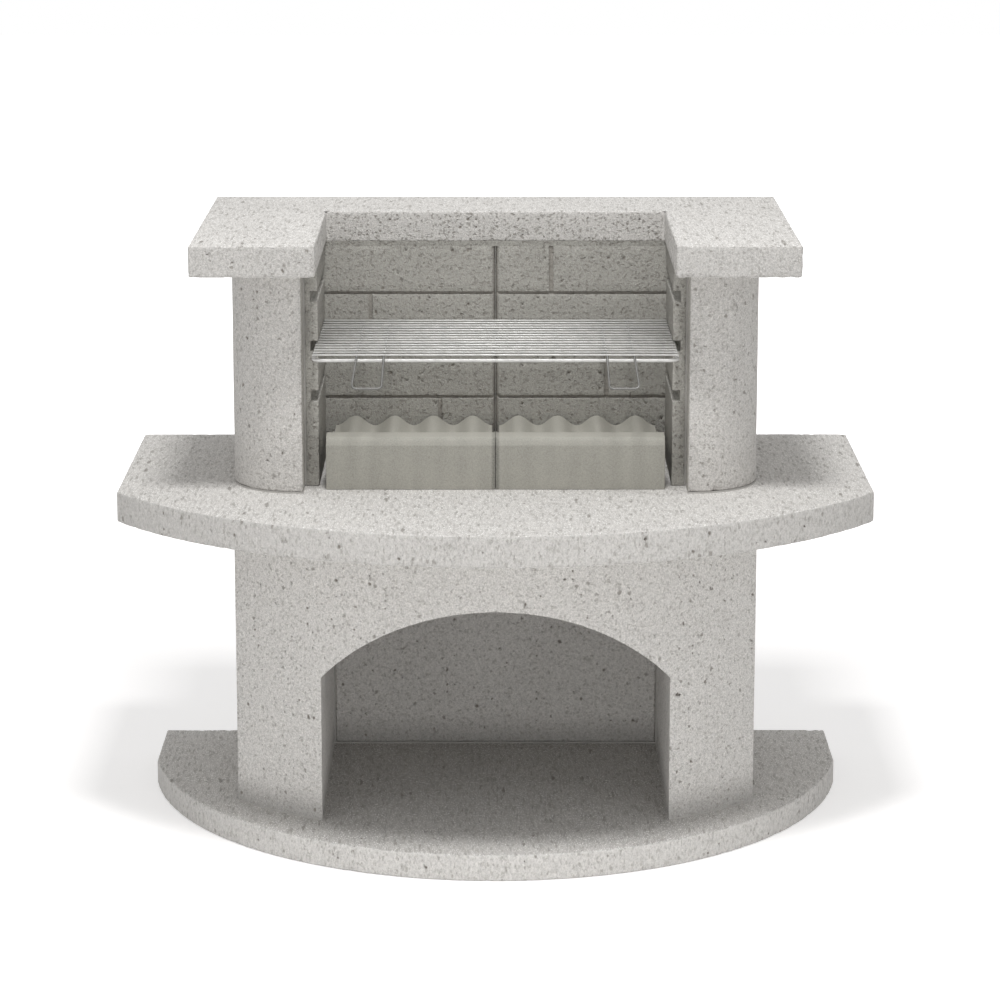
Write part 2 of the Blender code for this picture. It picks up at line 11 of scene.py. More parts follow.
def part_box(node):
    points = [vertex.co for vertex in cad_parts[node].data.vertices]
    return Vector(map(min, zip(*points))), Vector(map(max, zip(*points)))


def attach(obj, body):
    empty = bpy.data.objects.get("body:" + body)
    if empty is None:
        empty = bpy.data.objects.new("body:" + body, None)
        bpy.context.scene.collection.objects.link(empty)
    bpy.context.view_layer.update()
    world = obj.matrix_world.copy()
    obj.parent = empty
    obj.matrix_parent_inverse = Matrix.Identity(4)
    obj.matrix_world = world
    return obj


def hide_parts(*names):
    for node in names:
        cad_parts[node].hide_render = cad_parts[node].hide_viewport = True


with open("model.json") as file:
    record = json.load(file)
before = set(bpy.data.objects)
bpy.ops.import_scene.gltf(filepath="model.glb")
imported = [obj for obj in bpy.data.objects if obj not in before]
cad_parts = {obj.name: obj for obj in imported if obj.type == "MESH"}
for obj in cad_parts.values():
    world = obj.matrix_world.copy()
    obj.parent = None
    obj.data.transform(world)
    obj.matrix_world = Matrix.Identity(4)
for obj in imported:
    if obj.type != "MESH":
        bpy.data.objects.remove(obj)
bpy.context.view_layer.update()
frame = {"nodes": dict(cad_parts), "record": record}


# Camera. It stands where the photograph was taken from: a little above the cover slab, pitched
# down, with a long lens, so that the bowed slabs keep their photographed curves.
CAMERA_AT = (0.0, -5.23295, 1.6516)
PITCH = math.radians(12.3517)
YAW = math.radians(-0.0742)
FOCAL_PIXELS = 3550
PICTURE_PIXELS = 1000

camera_data = bpy.data.cameras.new("camera")
camera_data.sensor_width = 36.0
camera_data.lens = camera_data.sensor_width * FOCAL_PIXELS / PICTURE_PIXELS
camera = bpy.data.objects.new("camera", camera_data)
camera.location = CAMERA_AT
camera.rotation_euler = (math.pi / 2 - PITCH, 0.0, YAW)
bpy.context.scene.collection.objects.link(camera)
bpy.context.scene.camera = camera
bpy.context.scene.view_settings.view_transform = "Standard"


# Shader maths for every finish. A Finish is one material; its node method adds any node, and
# a Value is a number that changes over the surface and takes Python's operators.
class Value:
    def __init__(self, finish, socket):
        self.finish = finish
        self.socket = socket

    def math(self, operation, *operands):
        made = self.finish.node("Math", {"operation": operation}, dict(enumerate(operands)))
        return Value(self.finish, made.outputs[0])

    def __add__(self, other):
        return self.math("ADD", self, other)

    def __sub__(self, other):
        return self.math("SUBTRACT", self, other)

    def __rsub__(self, other):
        return self.math("SUBTRACT", other, self)

    def __mul__(self, other):
        return self.math("MULTIPLY", self, other)

    __radd__ = __add__
    __rmul__ = __mul__

    def above(self, edge):
        return self.math("GREATER_THAN", self, edge)

    def between(self, low, high):
        """0 at low and 1 at high, eased; low may be the larger."""
        made = self.finish.node("MapRange", {"interpolation_type": "SMOOTHSTEP"},
                                {"Value": self, "From Min": low, "From Max": high})
        return Value(self.finish, made.outputs["Result"])


class Finish:
    def __init__(self, name, roughness, metallic=0.0):
        self.material = bpy.data.materials.new(name)
        self.material.use_nodes = True
        self.tree = self.material.node_tree
        self.surface = self.tree.nodes["Principled BSDF"]
        self.surface.inputs["Metallic"].default_value = metallic
        self.feed(self.surface.inputs["Roughness"], roughness)

    def feed(self, socket, value):
        if isinstance(value, Value):
            value = value.socket
        if isinstance(value, bpy.types.NodeSocket):
            self.tree.links.new(value, socket)
        elif socket.type == "RGBA":
            socket.default_value = (*value, 1.0)
        else:
            socket.default_value = value

    def node(self, kind, settings=None, inputs=None):
        made = self.tree.nodes.new("ShaderNode" + kind)
        for key, value in (settings or {}).items():
            setattr(made, key, value)
        for key, value in (inputs or {}).items():
            self.feed(made.inputs[key], value)
        return made

    def value(self, node, output):
        return Value(self, node.outputs[output])

    def mix(self, share, first, second):
        made = self.node("Mix", {"data_type": "RGBA"}, {0: share, 6: first, 7: second})
        return made.outputs[2]

    def noise(self, place, scale, detail=2.0):
        made = self.node("TexNoise", {}, {"Vector": place, "Scale": scale, "Detail": detail})
        return self.value(made, "Fac")

    def cells(self, place, scale):
        """How far the surface is from the nearest grain, and a random number of that grain."""
        made = self.node("TexVoronoi", {}, {"Vector": place, "Scale": scale})
        drawn = self.node("SeparateColor", {}, {"Color": made.outputs["Color"]})
        return self.value(made, "Distance"), self.value(drawn, "Red")

    def relief(self, height, distance, strength=1.0):
        made = self.node("Bump", {}, {"Height": height, "Distance": distance, "Strength": strength})
        self.feed(self.surface.inputs["Normal"], made.outputs["Normal"])


# Studio. A white floor that keeps the soft shadow, a pale dome, a soft key light high in front
# and wide low lights that lift the walls, as in a catalogue picture.
FLOOR_HALF = 14.0
FLOOR_GREY = (0.80, 0.80, 0.80)
FLOOR_SEEN_GREY = (0.775, 0.762, 0.757)
FLOOR_GLOW = 0.408
SHADOW_REACH = 1.1        # the floor turns plain white from here
PLAIN_FLOOR = 2.6         # to here, measured from the middle of the object
DOME_LIGHT = 0.555
LAMPS = (
    {"name": "overhead_key", "size": (0.45, 0.45), "at": (0.0, -1.34, 3.46),
     "aim": (0.0, -0.1, 0.5), "watts": 57.0},
    {"name": "floor_strip", "size": (2.6, 0.2), "at": (0.0, -1.5, 0.05),
     "aim": (0.0, -0.2, 0.35), "watts": 7.0},
    {"name": "low_left", "size": (0.6, 1.0), "at": (-2.4, -2.2, 0.5),
     "aim": (0.0, 0.0, 0.3), "watts": 8.0},
    {"name": "low_right", "size": (0.6, 1.0), "at": (2.4, -2.2, 0.5),
     "aim": (0.0, 0.0, 0.3), "watts": 8.0},
)

shape = bmesh.new()
bmesh.ops.create_grid(shape, x_segments=1, y_segments=1, size=FLOOR_HALF)
floor_data = bpy.data.meshes.new("floor")
shape.to_mesh(floor_data)
shape.free()
floor = bpy.data.objects.new("floor", floor_data)
bpy.context.scene.collection.objects.link(floor)


def seen_directly(tree):
    """1 for rays from the camera and in reflections, 0 for the light that falls on things."""
    rays = tree.nodes.new("ShaderNodeLightPath")
    seen = rays.outputs["Is Camera Ray"]
    for name in ("Is Glossy Ray", "Is Transmission Ray"):
        largest = tree.nodes.new("ShaderNodeMath")
        largest.operation = "MAXIMUM"
        tree.links.new(seen, largest.inputs[0])
        tree.links.new(rays.outputs[name], largest.inputs[1])
        seen = largest.outputs[0]
    return seen


floor_finish = Finish("studio_floor", 1.0)
lit = floor_finish.node("BsdfDiffuse", {}, {"Color": FLOOR_GREY})
shown = floor_finish.node("BsdfDiffuse", {}, {"Color": FLOOR_SEEN_GREY})
middle = floor_finish.node("VectorMath", {"operation": "LENGTH"},
                           {0: floor_finish.node("TexCoord").outputs["Object"]})
plain = floor_finish.value(middle, "Value").between(SHADOW_REACH, PLAIN_FLOOR)
glow = floor_finish.node("Emission", {}, {"Strength": plain * (1.0 - FLOOR_GLOW) + FLOOR_GLOW})
both = floor_finish.node("AddShader", {}, {0: shown.outputs[0], 1: glow.outputs[0]})
chosen = floor_finish.node("MixShader", {}, {0: seen_directly(floor_finish.tree),
                                            1: lit.outputs[0], 2: both.outputs[0]})
floor_finish.tree.links.new(chosen.outputs[0],
                            floor_finish.tree.nodes["Material Output"].inputs["Surface"])
floor_data.materials.append(floor_finish.material)

world = bpy.data.worlds.new("studio")
bpy.context.scene.world = world
world.use_nodes = True
sky = world.node_tree.nodes["Background"]
sky.inputs["Color"].default_value = (1.0, 1.0, 1.0, 1.0)
level = world.node_tree.nodes.new("ShaderNodeMapRange")
world.node_tree.links.new(seen_directly(world.node_tree), level.inputs["Value"])
level.inputs["To Min"].default_value = DOME_LIGHT
level.inputs["To Max"].default_value = 1.0
world.node_tree.links.new(level.outputs["Result"], sky.inputs["Strength"])

for lamp in LAMPS:
    data = bpy.data.lights.new(lamp["name"], "AREA")
    data.shape = "RECTANGLE"
    data.size, data.size_y = lamp["size"]
    data.energy = lamp["watts"]
    item = bpy.data.objects.new(lamp["name"], data)
    item.location = lamp["at"]
    towards = Vector(lamp["aim"]) - Vector(lamp["at"])
    item.rotation_euler = towards.to_track_quat("-Z", "Y").to_euler()
    bpy.context.scene.collection.objects.link(item)


# Ground slab. A round-fronted casting of pale concrete with crushed stone in it, laid straight
# on the ground. Every concrete block below is cast, and so finished, in the same way.
CONCRETE_TONE = (0.555, 0.538, 0.515)
STONE_TONE = (0.25, 0.235, 0.21)
PIT_SHADE_TONE = (0.22, 0.20, 0.175)
CHALK_TONE = (0.90, 0.89, 0.87)
TOP_STRETCH = (1.0, 0.20, 1.0)  # the stones in a level face lie longer from front to back
EVEN = (1.0, 1.0, 1.0)
LEVEL = 0.7               # a face whose normal rises more than this lies level
CELL = 0.012              # spacing of the cuts over a casting
ARRIS_ROUND = 0.0012
ARRIS_ANGLE = math.radians(30)
ARRIS_CUTS = 2            # further cuts in each cell of an edge
CLOUD_SCALE = 7.0         # noise scales: slow clouds, dark blotches, then grit, sand and chalk
BLOTCH_SCALE = 210.0
GRIT_SCALE = 310.0
SAND_SCALE = 720.0
CHALK_SCALE = 880.0
STONE_SCALE = 64.0        # cells in a metre, one stone or one small chip in each
CHIP_SCALE = 150.0
BLOTCH_SHARE = 0.36       # how much of the stone's tone each of them shows
CHIP_SHARE = 0.50
STONE_SHARE = 0.80
TORN_SCALE = 300.0
RAGGED = 0.007            # how far the outline of a stone is torn
UNEVEN = 0.0004           # how far a cast face wanders, inwards only
UNEVEN_SCALE = 14.0
CHIP = 0.0016             # how far the edges are worn back
WEAR_SCALES = (60.0, 210.0)
PIT_RADIUS = (0.0009, 0.0029)
PIT_DEPTH = (0.0008, 0.0022)
PIT_FLOOR = 0.62          # width of an air hole's floor against its mouth
PITS_PER_AREA = 420       # air holes in a square metre of face
FOOT_SHADE_HEIGHT = 0.055            # height of the painted shade at the foot of a wall
FOOT_SHADE_STRENGTH = 0.38
SLAB_SHADOW_BAND = (0.015, 0.075)  # behind the doorstep: where the painted shadow begins and is at its full
SLAB_SHADOW_REACH = (0.45, 0.20)  # and the same to each side
SLAB_SHADOWED = 0.20
SCORE_STEP = 0.0017       # further behind a scored face than this is the floor of a joint


def concrete(name, tone=CONCRETE_TONE, grain=1.0, specks=1.0, top=TOP_STRETCH, upright=EVEN,
             painted_face_light=(1.0, 1.0), crest=1.0, foot=None, doorstep=None):
    """Pale concrete: fine grain, grey and white stone specks, and dark air holes.

    Level faces and upright ones get their own painted light, each paler or darker by a factor.
    The crest cuts off the brightest grains, as on a face that was floated smooth. Below the
    foot, a height, a painted shade darkens the faces, and a painted shadow darkens level faces
    behind the doorstep, a front edge. The floors of air holes and scored joints get a painted
    shade.
    """
    finish = Finish(name, 0.9)
    coordinates = finish.node("TexCoord")
    place = coordinates.outputs["Object"]
    normal = finish.node("SeparateXYZ", {}, {0: coordinates.outputs["Normal"]})
    level = finish.value(normal, "Z").math("ABSOLUTE", finish.value(normal, "Z")).above(LEVEL)
    drawn = finish.node("Mix", {"data_type": "VECTOR"}, {0: level, 4: upright, 5: top})
    place = finish.node("VectorMath", {"operation": "MULTIPLY"},
                        {0: place, 1: drawn.outputs[1]}).outputs[0]
    push = finish.node("TexNoise", {}, {"Vector": place, "Scale": TORN_SCALE}).outputs["Color"]
    ragged = finish.node("VectorMath", {"operation": "MULTIPLY_ADD"},
                         {0: push, 1: (RAGGED, RAGGED, RAGGED), 2: place}).outputs[0]
    cloud = finish.noise(place, CLOUD_SCALE)
    sand = finish.noise(place, SAND_SCALE)
    grit = finish.noise(place, GRIT_SCALE)
    blotch = finish.noise(place, BLOTCH_SCALE, 3.0).between(0.54, 0.68)
    stone_distance, stone_draw = finish.cells(ragged, STONE_SCALE)
    stones = stone_distance.between(0.22, 0.11) * stone_draw.between(0.40, 0.90)
    chip_distance, chip_draw = finish.cells(ragged, CHIP_SCALE)
    chips = chip_distance.between(0.38, 0.22) * chip_draw.between(0.50, 0.90)
    chalk = finish.noise(place, CHALK_SCALE, 1.0).between(0.575, 0.655)
    chalk = chalk * (level * 0.80 + 0.15)
    grains = sand.math("MINIMUM", sand, crest)
    floated = level * -0.35 + 1.0
    shade = (cloud - 0.5) * 0.08 + (grains - 0.5) * (1.25 * grain) * floated
    shade = shade + (grit - 0.5) * (0.65 * grain)
    # Painted light and shade: level and upright faces are scaled by their own factors, then the
    # painted shade at the foot and the painted shadow behind the doorstep are taken off.
    pale = level * (painted_face_light[0] - painted_face_light[1]) + painted_face_light[1]
    spot = finish.node("SeparateXYZ", {}, {0: coordinates.outputs["Object"]})
    if foot:
        pale = pale - finish.value(spot, "Z").between(foot, foot - FOOT_SHADE_HEIGHT) * FOOT_SHADE_STRENGTH
    if doorstep:
        aside = finish.value(spot, "X").math("ABSOLUTE", finish.value(spot, "X"))
        slab_shadow = finish.value(spot, "Y").between(doorstep + SLAB_SHADOW_BAND[0], doorstep + SLAB_SHADOW_BAND[1])
        pale = pale - slab_shadow * aside.between(*SLAB_SHADOW_REACH) * level * SLAB_SHADOWED
    light = finish.node("VectorMath", {"operation": "SCALE"},
                        {0: tone, "Scale": (shade + 1.0) * pale}).outputs[0]
    colour = finish.mix(chalk, light, CHALK_TONE)
    colour = finish.mix(blotch * (BLOTCH_SHARE * specks), colour, STONE_TONE)
    colour = finish.mix(chips * min(0.9, CHIP_SHARE * specks), colour, STONE_TONE)
    colour = finish.mix(stones * STONE_SHARE, colour, STONE_TONE)
    # Painted shade on the floors of the air holes and of the scored joints.
    hollow_shade = finish.value(finish.node("Attribute", {"attribute_name": "hollow_shade"}), "Fac")
    colour = finish.mix(hollow_shade, colour, PIT_SHADE_TONE)
    finish.feed(finish.surface.inputs["Base Color"], colour)
    height = sand * 0.4 + grit * 0.8 - stones * 0.9 - chips * 0.5 - blotch * 0.4
    finish.relief(height, 0.0008 * max(grain, specks))
    return finish.material


def bare_copy(node):
    """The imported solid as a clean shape: doubles merged and flat faces made whole."""
    shape = bmesh.new()
    shape.from_mesh(frame["nodes"][node].data)
    bmesh.ops.remove_doubles(shape, verts=shape.verts, dist=0.00001)
    bmesh.ops.dissolve_limit(shape, angle_limit=math.radians(0.5), verts=shape.verts,
                             edges=shape.edges)
    return shape


def slice_up(shape, cell):
    """Cut the whole shape at every cell along the three axes."""
    low = [min(vert.co[axis] for vert in shape.verts) for axis in range(3)]
    high = [max(vert.co[axis] for vert in shape.verts) for axis in range(3)]
    for axis in range(3):
        direction = Vector([float(axis == other) for other in range(3)])
        for step in range(math.floor(low[axis] / cell) + 1, math.ceil(high[axis] / cell)):
            part = shape.verts[:] + shape.edges[:] + shape.faces[:]
            bmesh.ops.bisect_plane(shape, geom=part, dist=0.00001, plane_no=direction,
                                   plane_co=direction * (step * cell))


def open_pits(shape, per_area, draw, hollow_shade):
    """Air holes: small uneven hollows sunk into cells picked at random."""
    cells = [face for face in shape.faces
             if len(face.verts) == 4 and face.calc_area() > 0.5 * CELL ** 2]
    wanted = int(per_area * sum(face.calc_area() for face in cells))
    picked = draw.sample(cells, min(wanted, len(cells)))
    bmesh.ops.inset_individual(shape, faces=picked, thickness=0.2 * CELL)
    for face in picked:
        for edge in list(face.edges):
            bmesh.utils.edge_split(edge, edge.verts[0], 0.5)
        middle = face.calc_center_median()
        along = (face.verts[0].co - middle).normalized()
        across = face.normal.cross(along)
        radius = PIT_RADIUS[0] + (PIT_RADIUS[1] - PIT_RADIUS[0]) * draw.random() ** 2
        longer, turn = draw.uniform(1.0, 1.8), draw.uniform(0.0, math.pi)
        for vert in face.verts:
            arm = vert.co - middle
            angle = math.atan2(arm.dot(across), arm.dot(along))
            reach = radius / math.hypot(math.cos(angle - turn) / longer, math.sin(angle - turn))
            reach = reach * draw.uniform(0.75, 1.25)
            vert.co = middle + (along * math.cos(angle) + across * math.sin(angle)) * reach
    # The floors of the air holes are marked for a painted shade.
    floors = bmesh.ops.extrude_discrete_faces(shape, faces=picked)["faces"]
    for face in floors:
        middle, inwards = face.calc_center_median(), -face.normal
        depth = draw.uniform(*PIT_DEPTH)
        for vert in face.verts:
            vert.co = middle + (vert.co - middle) * PIT_FLOOR + inwards * depth
            vert[hollow_shade] = 0.8
    for vert in bmesh.ops.poke(shape, faces=floors, offset=0.0)["verts"]:
        vert[hollow_shade] = 1.0


def weather(shape, arris):
    """Move the faces inwards a little, unevenly, and wear the edges back."""
    shape.normal_update()
    moves = []
    for vert in shape.verts:
        depth = UNEVEN * (0.5 + 0.5 * noise.noise(vert.co * UNEVEN_SCALE))
        if any(face[arris] for face in vert.link_faces):
            worn = (noise.noise(vert.co * WEAR_SCALES[0])
                    + 0.7 * noise.noise(vert.co * WEAR_SCALES[1]))
            depth += CHIP * max(0.0, worn - 0.1)
        moves.append(vert.normal * -depth)
    for vert, move in zip(shape.verts, moves):
        vert.co += move


def finish_piece(shape, name, material, body, nodes, sharp=40.0):
    """Turn the shape into an object that stands for its nodes and rides on its body."""
    data = bpy.data.meshes.new(name)
    for face in shape.faces:
        face.smooth = True
    shape.to_mesh(data)
    shape.free()
    data.set_sharp_from_angle(angle=math.radians(sharp))
    data.materials.append(material)
    piece = bpy.data.objects.new(name, data)
    bpy.context.scene.collection.objects.link(piece)
    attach(piece, body)
    if nodes:
        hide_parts(*nodes)
    return piece


def cast_block(node, material, scored=None):
    """A packed block as a real casting: rounded worn edges, uneven faces and air holes."""
    shape = bare_copy(node)
    arris = shape.faces.layers.int.new("arris")
    edges = [edge for edge in shape.edges if edge.calc_face_angle(0.0) > ARRIS_ANGLE]
    rounded = bmesh.ops.bevel(shape, geom=edges, offset=ARRIS_ROUND, offset_type="OFFSET",
                              segments=2, profile=0.5, affect="EDGES", material=-1,
                              clamp_overlap=True)
    for face in rounded["faces"]:
        face[arris] = 1
    hollow_shade = shape.verts.layers.float.new("hollow_shade")
    slice_up(shape, CELL)
    open_pits(shape, PITS_PER_AREA, random.Random(node), hollow_shade)
    long_edges = [edge for edge in shape.edges if edge.calc_length() > 0.3 * CELL
                  and any(face[arris] for face in edge.link_faces)]
    bmesh.ops.subdivide_edges(shape, edges=long_edges, cuts=ARRIS_CUTS, use_grid_fill=True)
    weather(shape, arris)
    # A scored face gets a painted shade on the floors of its joints.
    if scored:
        for vert in shape.verts:
            behind = vert.co.y - scored[0]
            if SCORE_STEP < behind < 4 * SCORE_STEP:
                vert[hollow_shade] = max(vert[hollow_shade], scored[1])
    low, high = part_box(node)
    for vert in shape.verts:
        vert.co = [min(max(at, floor), top) for at, floor, top in zip(vert.co, low, high)]
    return finish_piece(shape, node + "_cast", material, "masonry", [node])


FLOATED = {"grain": 0.85, "upright": (1.0, 1.0, 0.6), "crest": 0.53}
# The slab's faces get painted light, and its top a painted shadow, as of the worktop, behind the
# front edge.
BASE_CONCRETE = concrete("base_concrete", **FLOATED, painted_face_light=(1.02, 1.08),
                         doorstep=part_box("base_slab")[0][1])
cast_block("base_slab", BASE_CONCRETE)


# Lower body. A bowed front wall with the arch, two side blocks and a back wall stand on the
# slab round the wood store. All are cast like the slab and bonded to it and to each other.
# The wall's upright faces get painted light, and its foot a painted shade.
WALL_CONCRETE = concrete("wall_concrete", painted_face_light=(1.0, 1.09),
                         foot=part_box("lower_front_wall")[0][2] + FOOT_SHADE_HEIGHT)
for node in ("lower_front_wall", "lower_side_left", "lower_side_right", "lower_back_wall"):
    cast_block(node, WALL_CONCRETE)


# Worktop. One bowed casting on the lower body that stands out on both sides as a shelf.
# It is bonded on a thin bed like the blocks below it.
# Painted light: the worktop's level faces are made paler and its upright faces darker.
WORKTOP_CONCRETE = concrete("worktop_concrete", **FLOATED, painted_face_light=(1.09, 0.94))
cast_block("worktop", WORKTOP_CONCRETE)


# Fire chamber. Two columns with a rounded outer corner and the wall between them, cast and
# bonded on the worktop.
COLUMN_CONCRETE = concrete("column_concrete")
# The faces of the columns towards the fire chamber get a darker copy of the concrete, a painted
# shade.
SHADED_CONCRETE = concrete("shaded_concrete", (0.40, 0.385, 0.355), specks=1.4, top=EVEN)
for node in ("column_left", "column_right"):
    column = cast_block(node, COLUMN_CONCRETE)
    column.data.materials.append(SHADED_CONCRETE)
    inner_face = min(abs(corner[0]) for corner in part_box(node))
    for face in column.data.polygons:
        if abs(face.center.x) < inner_face + ARRIS_ROUND and abs(face.normal.x) > 0.5:
            face.material_index = 1
cast_block("upper_back_wall", COLUMN_CONCRETE)


# Fireclay lining. Grooved panels on the columns and two scored panels at the back keep the
# fire off the concrete. They are pressed fireclay, set in a thin mortar.
# One fireclay in three tones: the plain one for the front ends, a darker copy as painted shade for
# the back panels and their mortar, and a still darker copy as deeper painted shade for the side
# panels' faces that look across the chamber.
FIRECLAY_TONE = (0.42, 0.408, 0.375)
SHADED_CLAY_TONE = (0.36, 0.35, 0.32)
DEEP_SHADE_CLAY_TONE = (0.29, 0.28, 0.255)
JOINT_SHADE = 0.55              # how dark the painted shade on the floor of a scored joint is
SEAM_FILL = (1.6, 0.8, 0.99)  # mortar in the seam: share of its half width, depth and height
SEAM_RECESS = 0.0025
HEAD_LAP = 0.006          # mortar struck off between the eased top of the panels and the cover
HEAD_RISE = 0.0012        # how far it fills the rounded edge of the cover
HEAD_OUT = 0.0013         # its top stands out from the panels to meet the face of the notch
HEAD_DEPTH = 0.008
GAP = 0.0003
CLAY = {"grain": 0.85, "specks": 1.7, "top": EVEN}
FIRECLAY = concrete("lining_fireclay", FIRECLAY_TONE, **CLAY)
SHADED_CLAY = concrete("shaded_fireclay", SHADED_CLAY_TONE, **CLAY)
DEEP_SHADE_CLAY = concrete("deep_shade_fireclay", DEEP_SHADE_CLAY_TONE, **CLAY)
back_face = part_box("back_lining_left")[0][1]
for node in ("side_lining_left", "side_lining_right"):
    panel = cast_block(node, FIRECLAY)
    # Faces that look sideways get the deeper painted shade.
    panel.data.materials.append(DEEP_SHADE_CLAY)
    for face in panel.data.polygons:
        if abs(face.normal.x) > 0.5:
            face.material_index = 1
for node in ("back_lining_left", "back_lining_right"):
    cast_block(node, SHADED_CLAY, scored=(back_face, JOINT_SHADE))

low, high = (Vector(corner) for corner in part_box("back_lining_left"))
seam_half = abs(high.x)
shape = bmesh.new()
bmesh.ops.create_cube(shape, size=1.0)
seam_size = Vector(SEAM_FILL) * Vector((seam_half, high.y - low.y, high.z - low.z))
seam_middle = (0.0, low.y + SEAM_RECESS + seam_size.y / 2, (high.z + low.z) / 2)
bmesh.ops.scale(shape, vec=seam_size, verts=shape.verts)
bmesh.ops.translate(shape, vec=seam_middle, verts=shape.verts)
finish_piece(shape, "seam_mortar", SHADED_CLAY, "masonry", [])

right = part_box("back_lining_right")[1]
cover_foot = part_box("cover_slab")[0][2]
shape = bmesh.new()
bmesh.ops.create_cube(shape, size=1.0)
for vert in shape.verts:
    upper, nearer = vert.co.z > 0, vert.co.y < 0
    vert.co.x = math.copysign(right[0] - GAP, vert.co.x)
    vert.co.z = cover_foot + HEAD_RISE if upper else high.z - HEAD_LAP
    vert.co.y = low.y + HEAD_DEPTH
    if nearer:
        vert.co.y = low.y + (-HEAD_OUT if upper else GAP)
finish_piece(shape, "head_mortar", SHADED_CLAY, "masonry", [])


# Adhesive. Thin beds of stone adhesive between the blocks, pressed in wet and struck off just
# behind the faces, so that they hardly show.
ADHESIVE_TONE = (0.50, 0.485, 0.46)
BED_RECESS = 0.003        # packed bed behind the faces of the blocks
STRUCK_RECESS = 0.0003
BED_FILL = 0.0006         # how far it fills the rounded edges of the blocks
ACROSS_BED = {"base_bed": 2, "worktop_bed": 2, "column_bed": 2, "cover_bed": 2,
              "front_joint": 1, "lower_joint": 0, "upper_joint": 0, "side_mortar": 0}
SIDEWAYS = 0.5            # a face whose normal has less than this across the bed is its rim

adhesive = Finish("stone_adhesive", 0.95)
grit = adhesive.noise(adhesive.node("TexCoord").outputs["Object"], 600.0)
adhesive.feed(adhesive.surface.inputs["Base Color"],
              adhesive.mix(grit, [0.75 * part for part in ADHESIVE_TONE], ADHESIVE_TONE))
adhesive.relief(grit, 0.0005)


def struck_bed(node, across):
    """A bed whose rim comes out to just behind the faces of the blocks."""
    shape = bare_copy(node)
    shape.normal_update()
    moves = []
    for vert in shape.verts:
        rim = [face.normal for face in vert.link_faces if abs(face.normal[across]) < SIDEWAYS]
        out = sum(rim, Vector())
        moves.append(out * ((BED_RECESS - STRUCK_RECESS) * len(rim) / out.length_squared))
    middle = sum(corner[across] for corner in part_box(node)) / 2
    for vert, move in zip(shape.verts, moves):
        vert.co += move
        vert.co[across] += math.copysign(BED_FILL, vert.co[across] - middle)
    finish_piece(shape, node + "_struck", adhesive.material, "masonry", [node])


for node in frame["record"]["physics"]["no_collision_nodes"]:
    kind = node.removesuffix("_left").removesuffix("_right")
    if kind in ACROSS_BED:
        struck_bed(node, ACROSS_BED[kind])
    else:
        data = frame["nodes"][node].data
        data.materials.clear()
        data.materials.append(adhesive.material)


# Charcoal trays. Two slip-cast fireclay trays that stand side by side on the worktop, with a
# stout rim in front and four ribs that keep the coals in the draught. They lift and slide out.
TRAY_TONE = (0.37, 0.36, 0.32)
TRAY_CORNER = 0.005
TRAY_EDGE = 0.0022
BAND_PITCH = 0.033        # faint paler and darker bands down the front
PAINTED_TOP_LIGHT = 0.30                # painted light: how much paler the upward faces are made
SEAM_SHADE_HALF = 0.0075        # half the width of the painted shade between the trays
SEAM_SHADED = 0.40

tray_clay = Finish("tray_fireclay", 0.78)
tray_place = tray_clay.node("TexCoord").outputs["Object"]
across = tray_clay.value(tray_clay.node("SeparateXYZ", {}, {0: tray_place}), "X")
bands = (across * (2 * math.pi / BAND_PITCH)).math("COSINE", across * (2 * math.pi / BAND_PITCH))
clay_sand = tray_clay.noise(tray_place, 700.0)
clay_cloud = tray_clay.noise(tray_place, 18.0, 3.0)
clay_specks = tray_clay.noise(tray_place, 260.0).between(0.66, 0.74)
tray_normal = tray_clay.node("SeparateXYZ", {}, {0: tray_clay.node("TexCoord").outputs["Normal"]})
# Painted light makes the upward faces of the trays paler.
top_light_mask = tray_clay.value(tray_normal, "Z").between(0.35, 0.95)
# Painted shade along the line where the two trays meet.
seam = across.math("ABSOLUTE", across).between(SEAM_SHADE_HALF, 0.4 * SEAM_SHADE_HALF)
clay_shade = (bands * 0.026 + (clay_sand - 0.5) * 0.70 + (clay_cloud - 0.5) * 0.16
              - clay_specks * 0.14 + top_light_mask * PAINTED_TOP_LIGHT - seam * SEAM_SHADED)
tray_clay.feed(tray_clay.surface.inputs["Base Color"],
               tray_clay.node("VectorMath", {"operation": "SCALE"},
                              {0: TRAY_TONE, "Scale": clay_shade + 1.0}).outputs[0])
tray_clay.relief(clay_sand * 0.6 + clay_cloud * 0.5, 0.0004)


def fire_tray(side):
    """A packed tray with the rounded corners and edges that slip leaves in a mould."""
    shape = bare_copy("fire_tray_" + side)
    upright = [edge for edge in shape.edges
               if abs(edge.verts[0].co.z - edge.verts[1].co.z) > 0.8 * edge.calc_length()
               and edge.calc_face_angle(0.0) > math.radians(60)]
    bmesh.ops.bevel(shape, geom=upright, offset=TRAY_CORNER, offset_type="OFFSET", segments=4,
                    profile=0.5, affect="EDGES", material=-1, clamp_overlap=True)
    edges = [edge for edge in shape.edges if edge.calc_face_angle(0.0) > math.radians(25)]
    bmesh.ops.bevel(shape, geom=edges, offset=TRAY_EDGE, offset_type="OFFSET", segments=3,
                    profile=0.5, affect="EDGES", material=-1, clamp_overlap=True)
    finish_piece(shape, "tray_" + side + "_clay", tray_clay.material, "tray_" + side,
                 ["fire_tray_" + side], sharp=60.0)


for side in ("left", "right"):
    fire_tray(side)


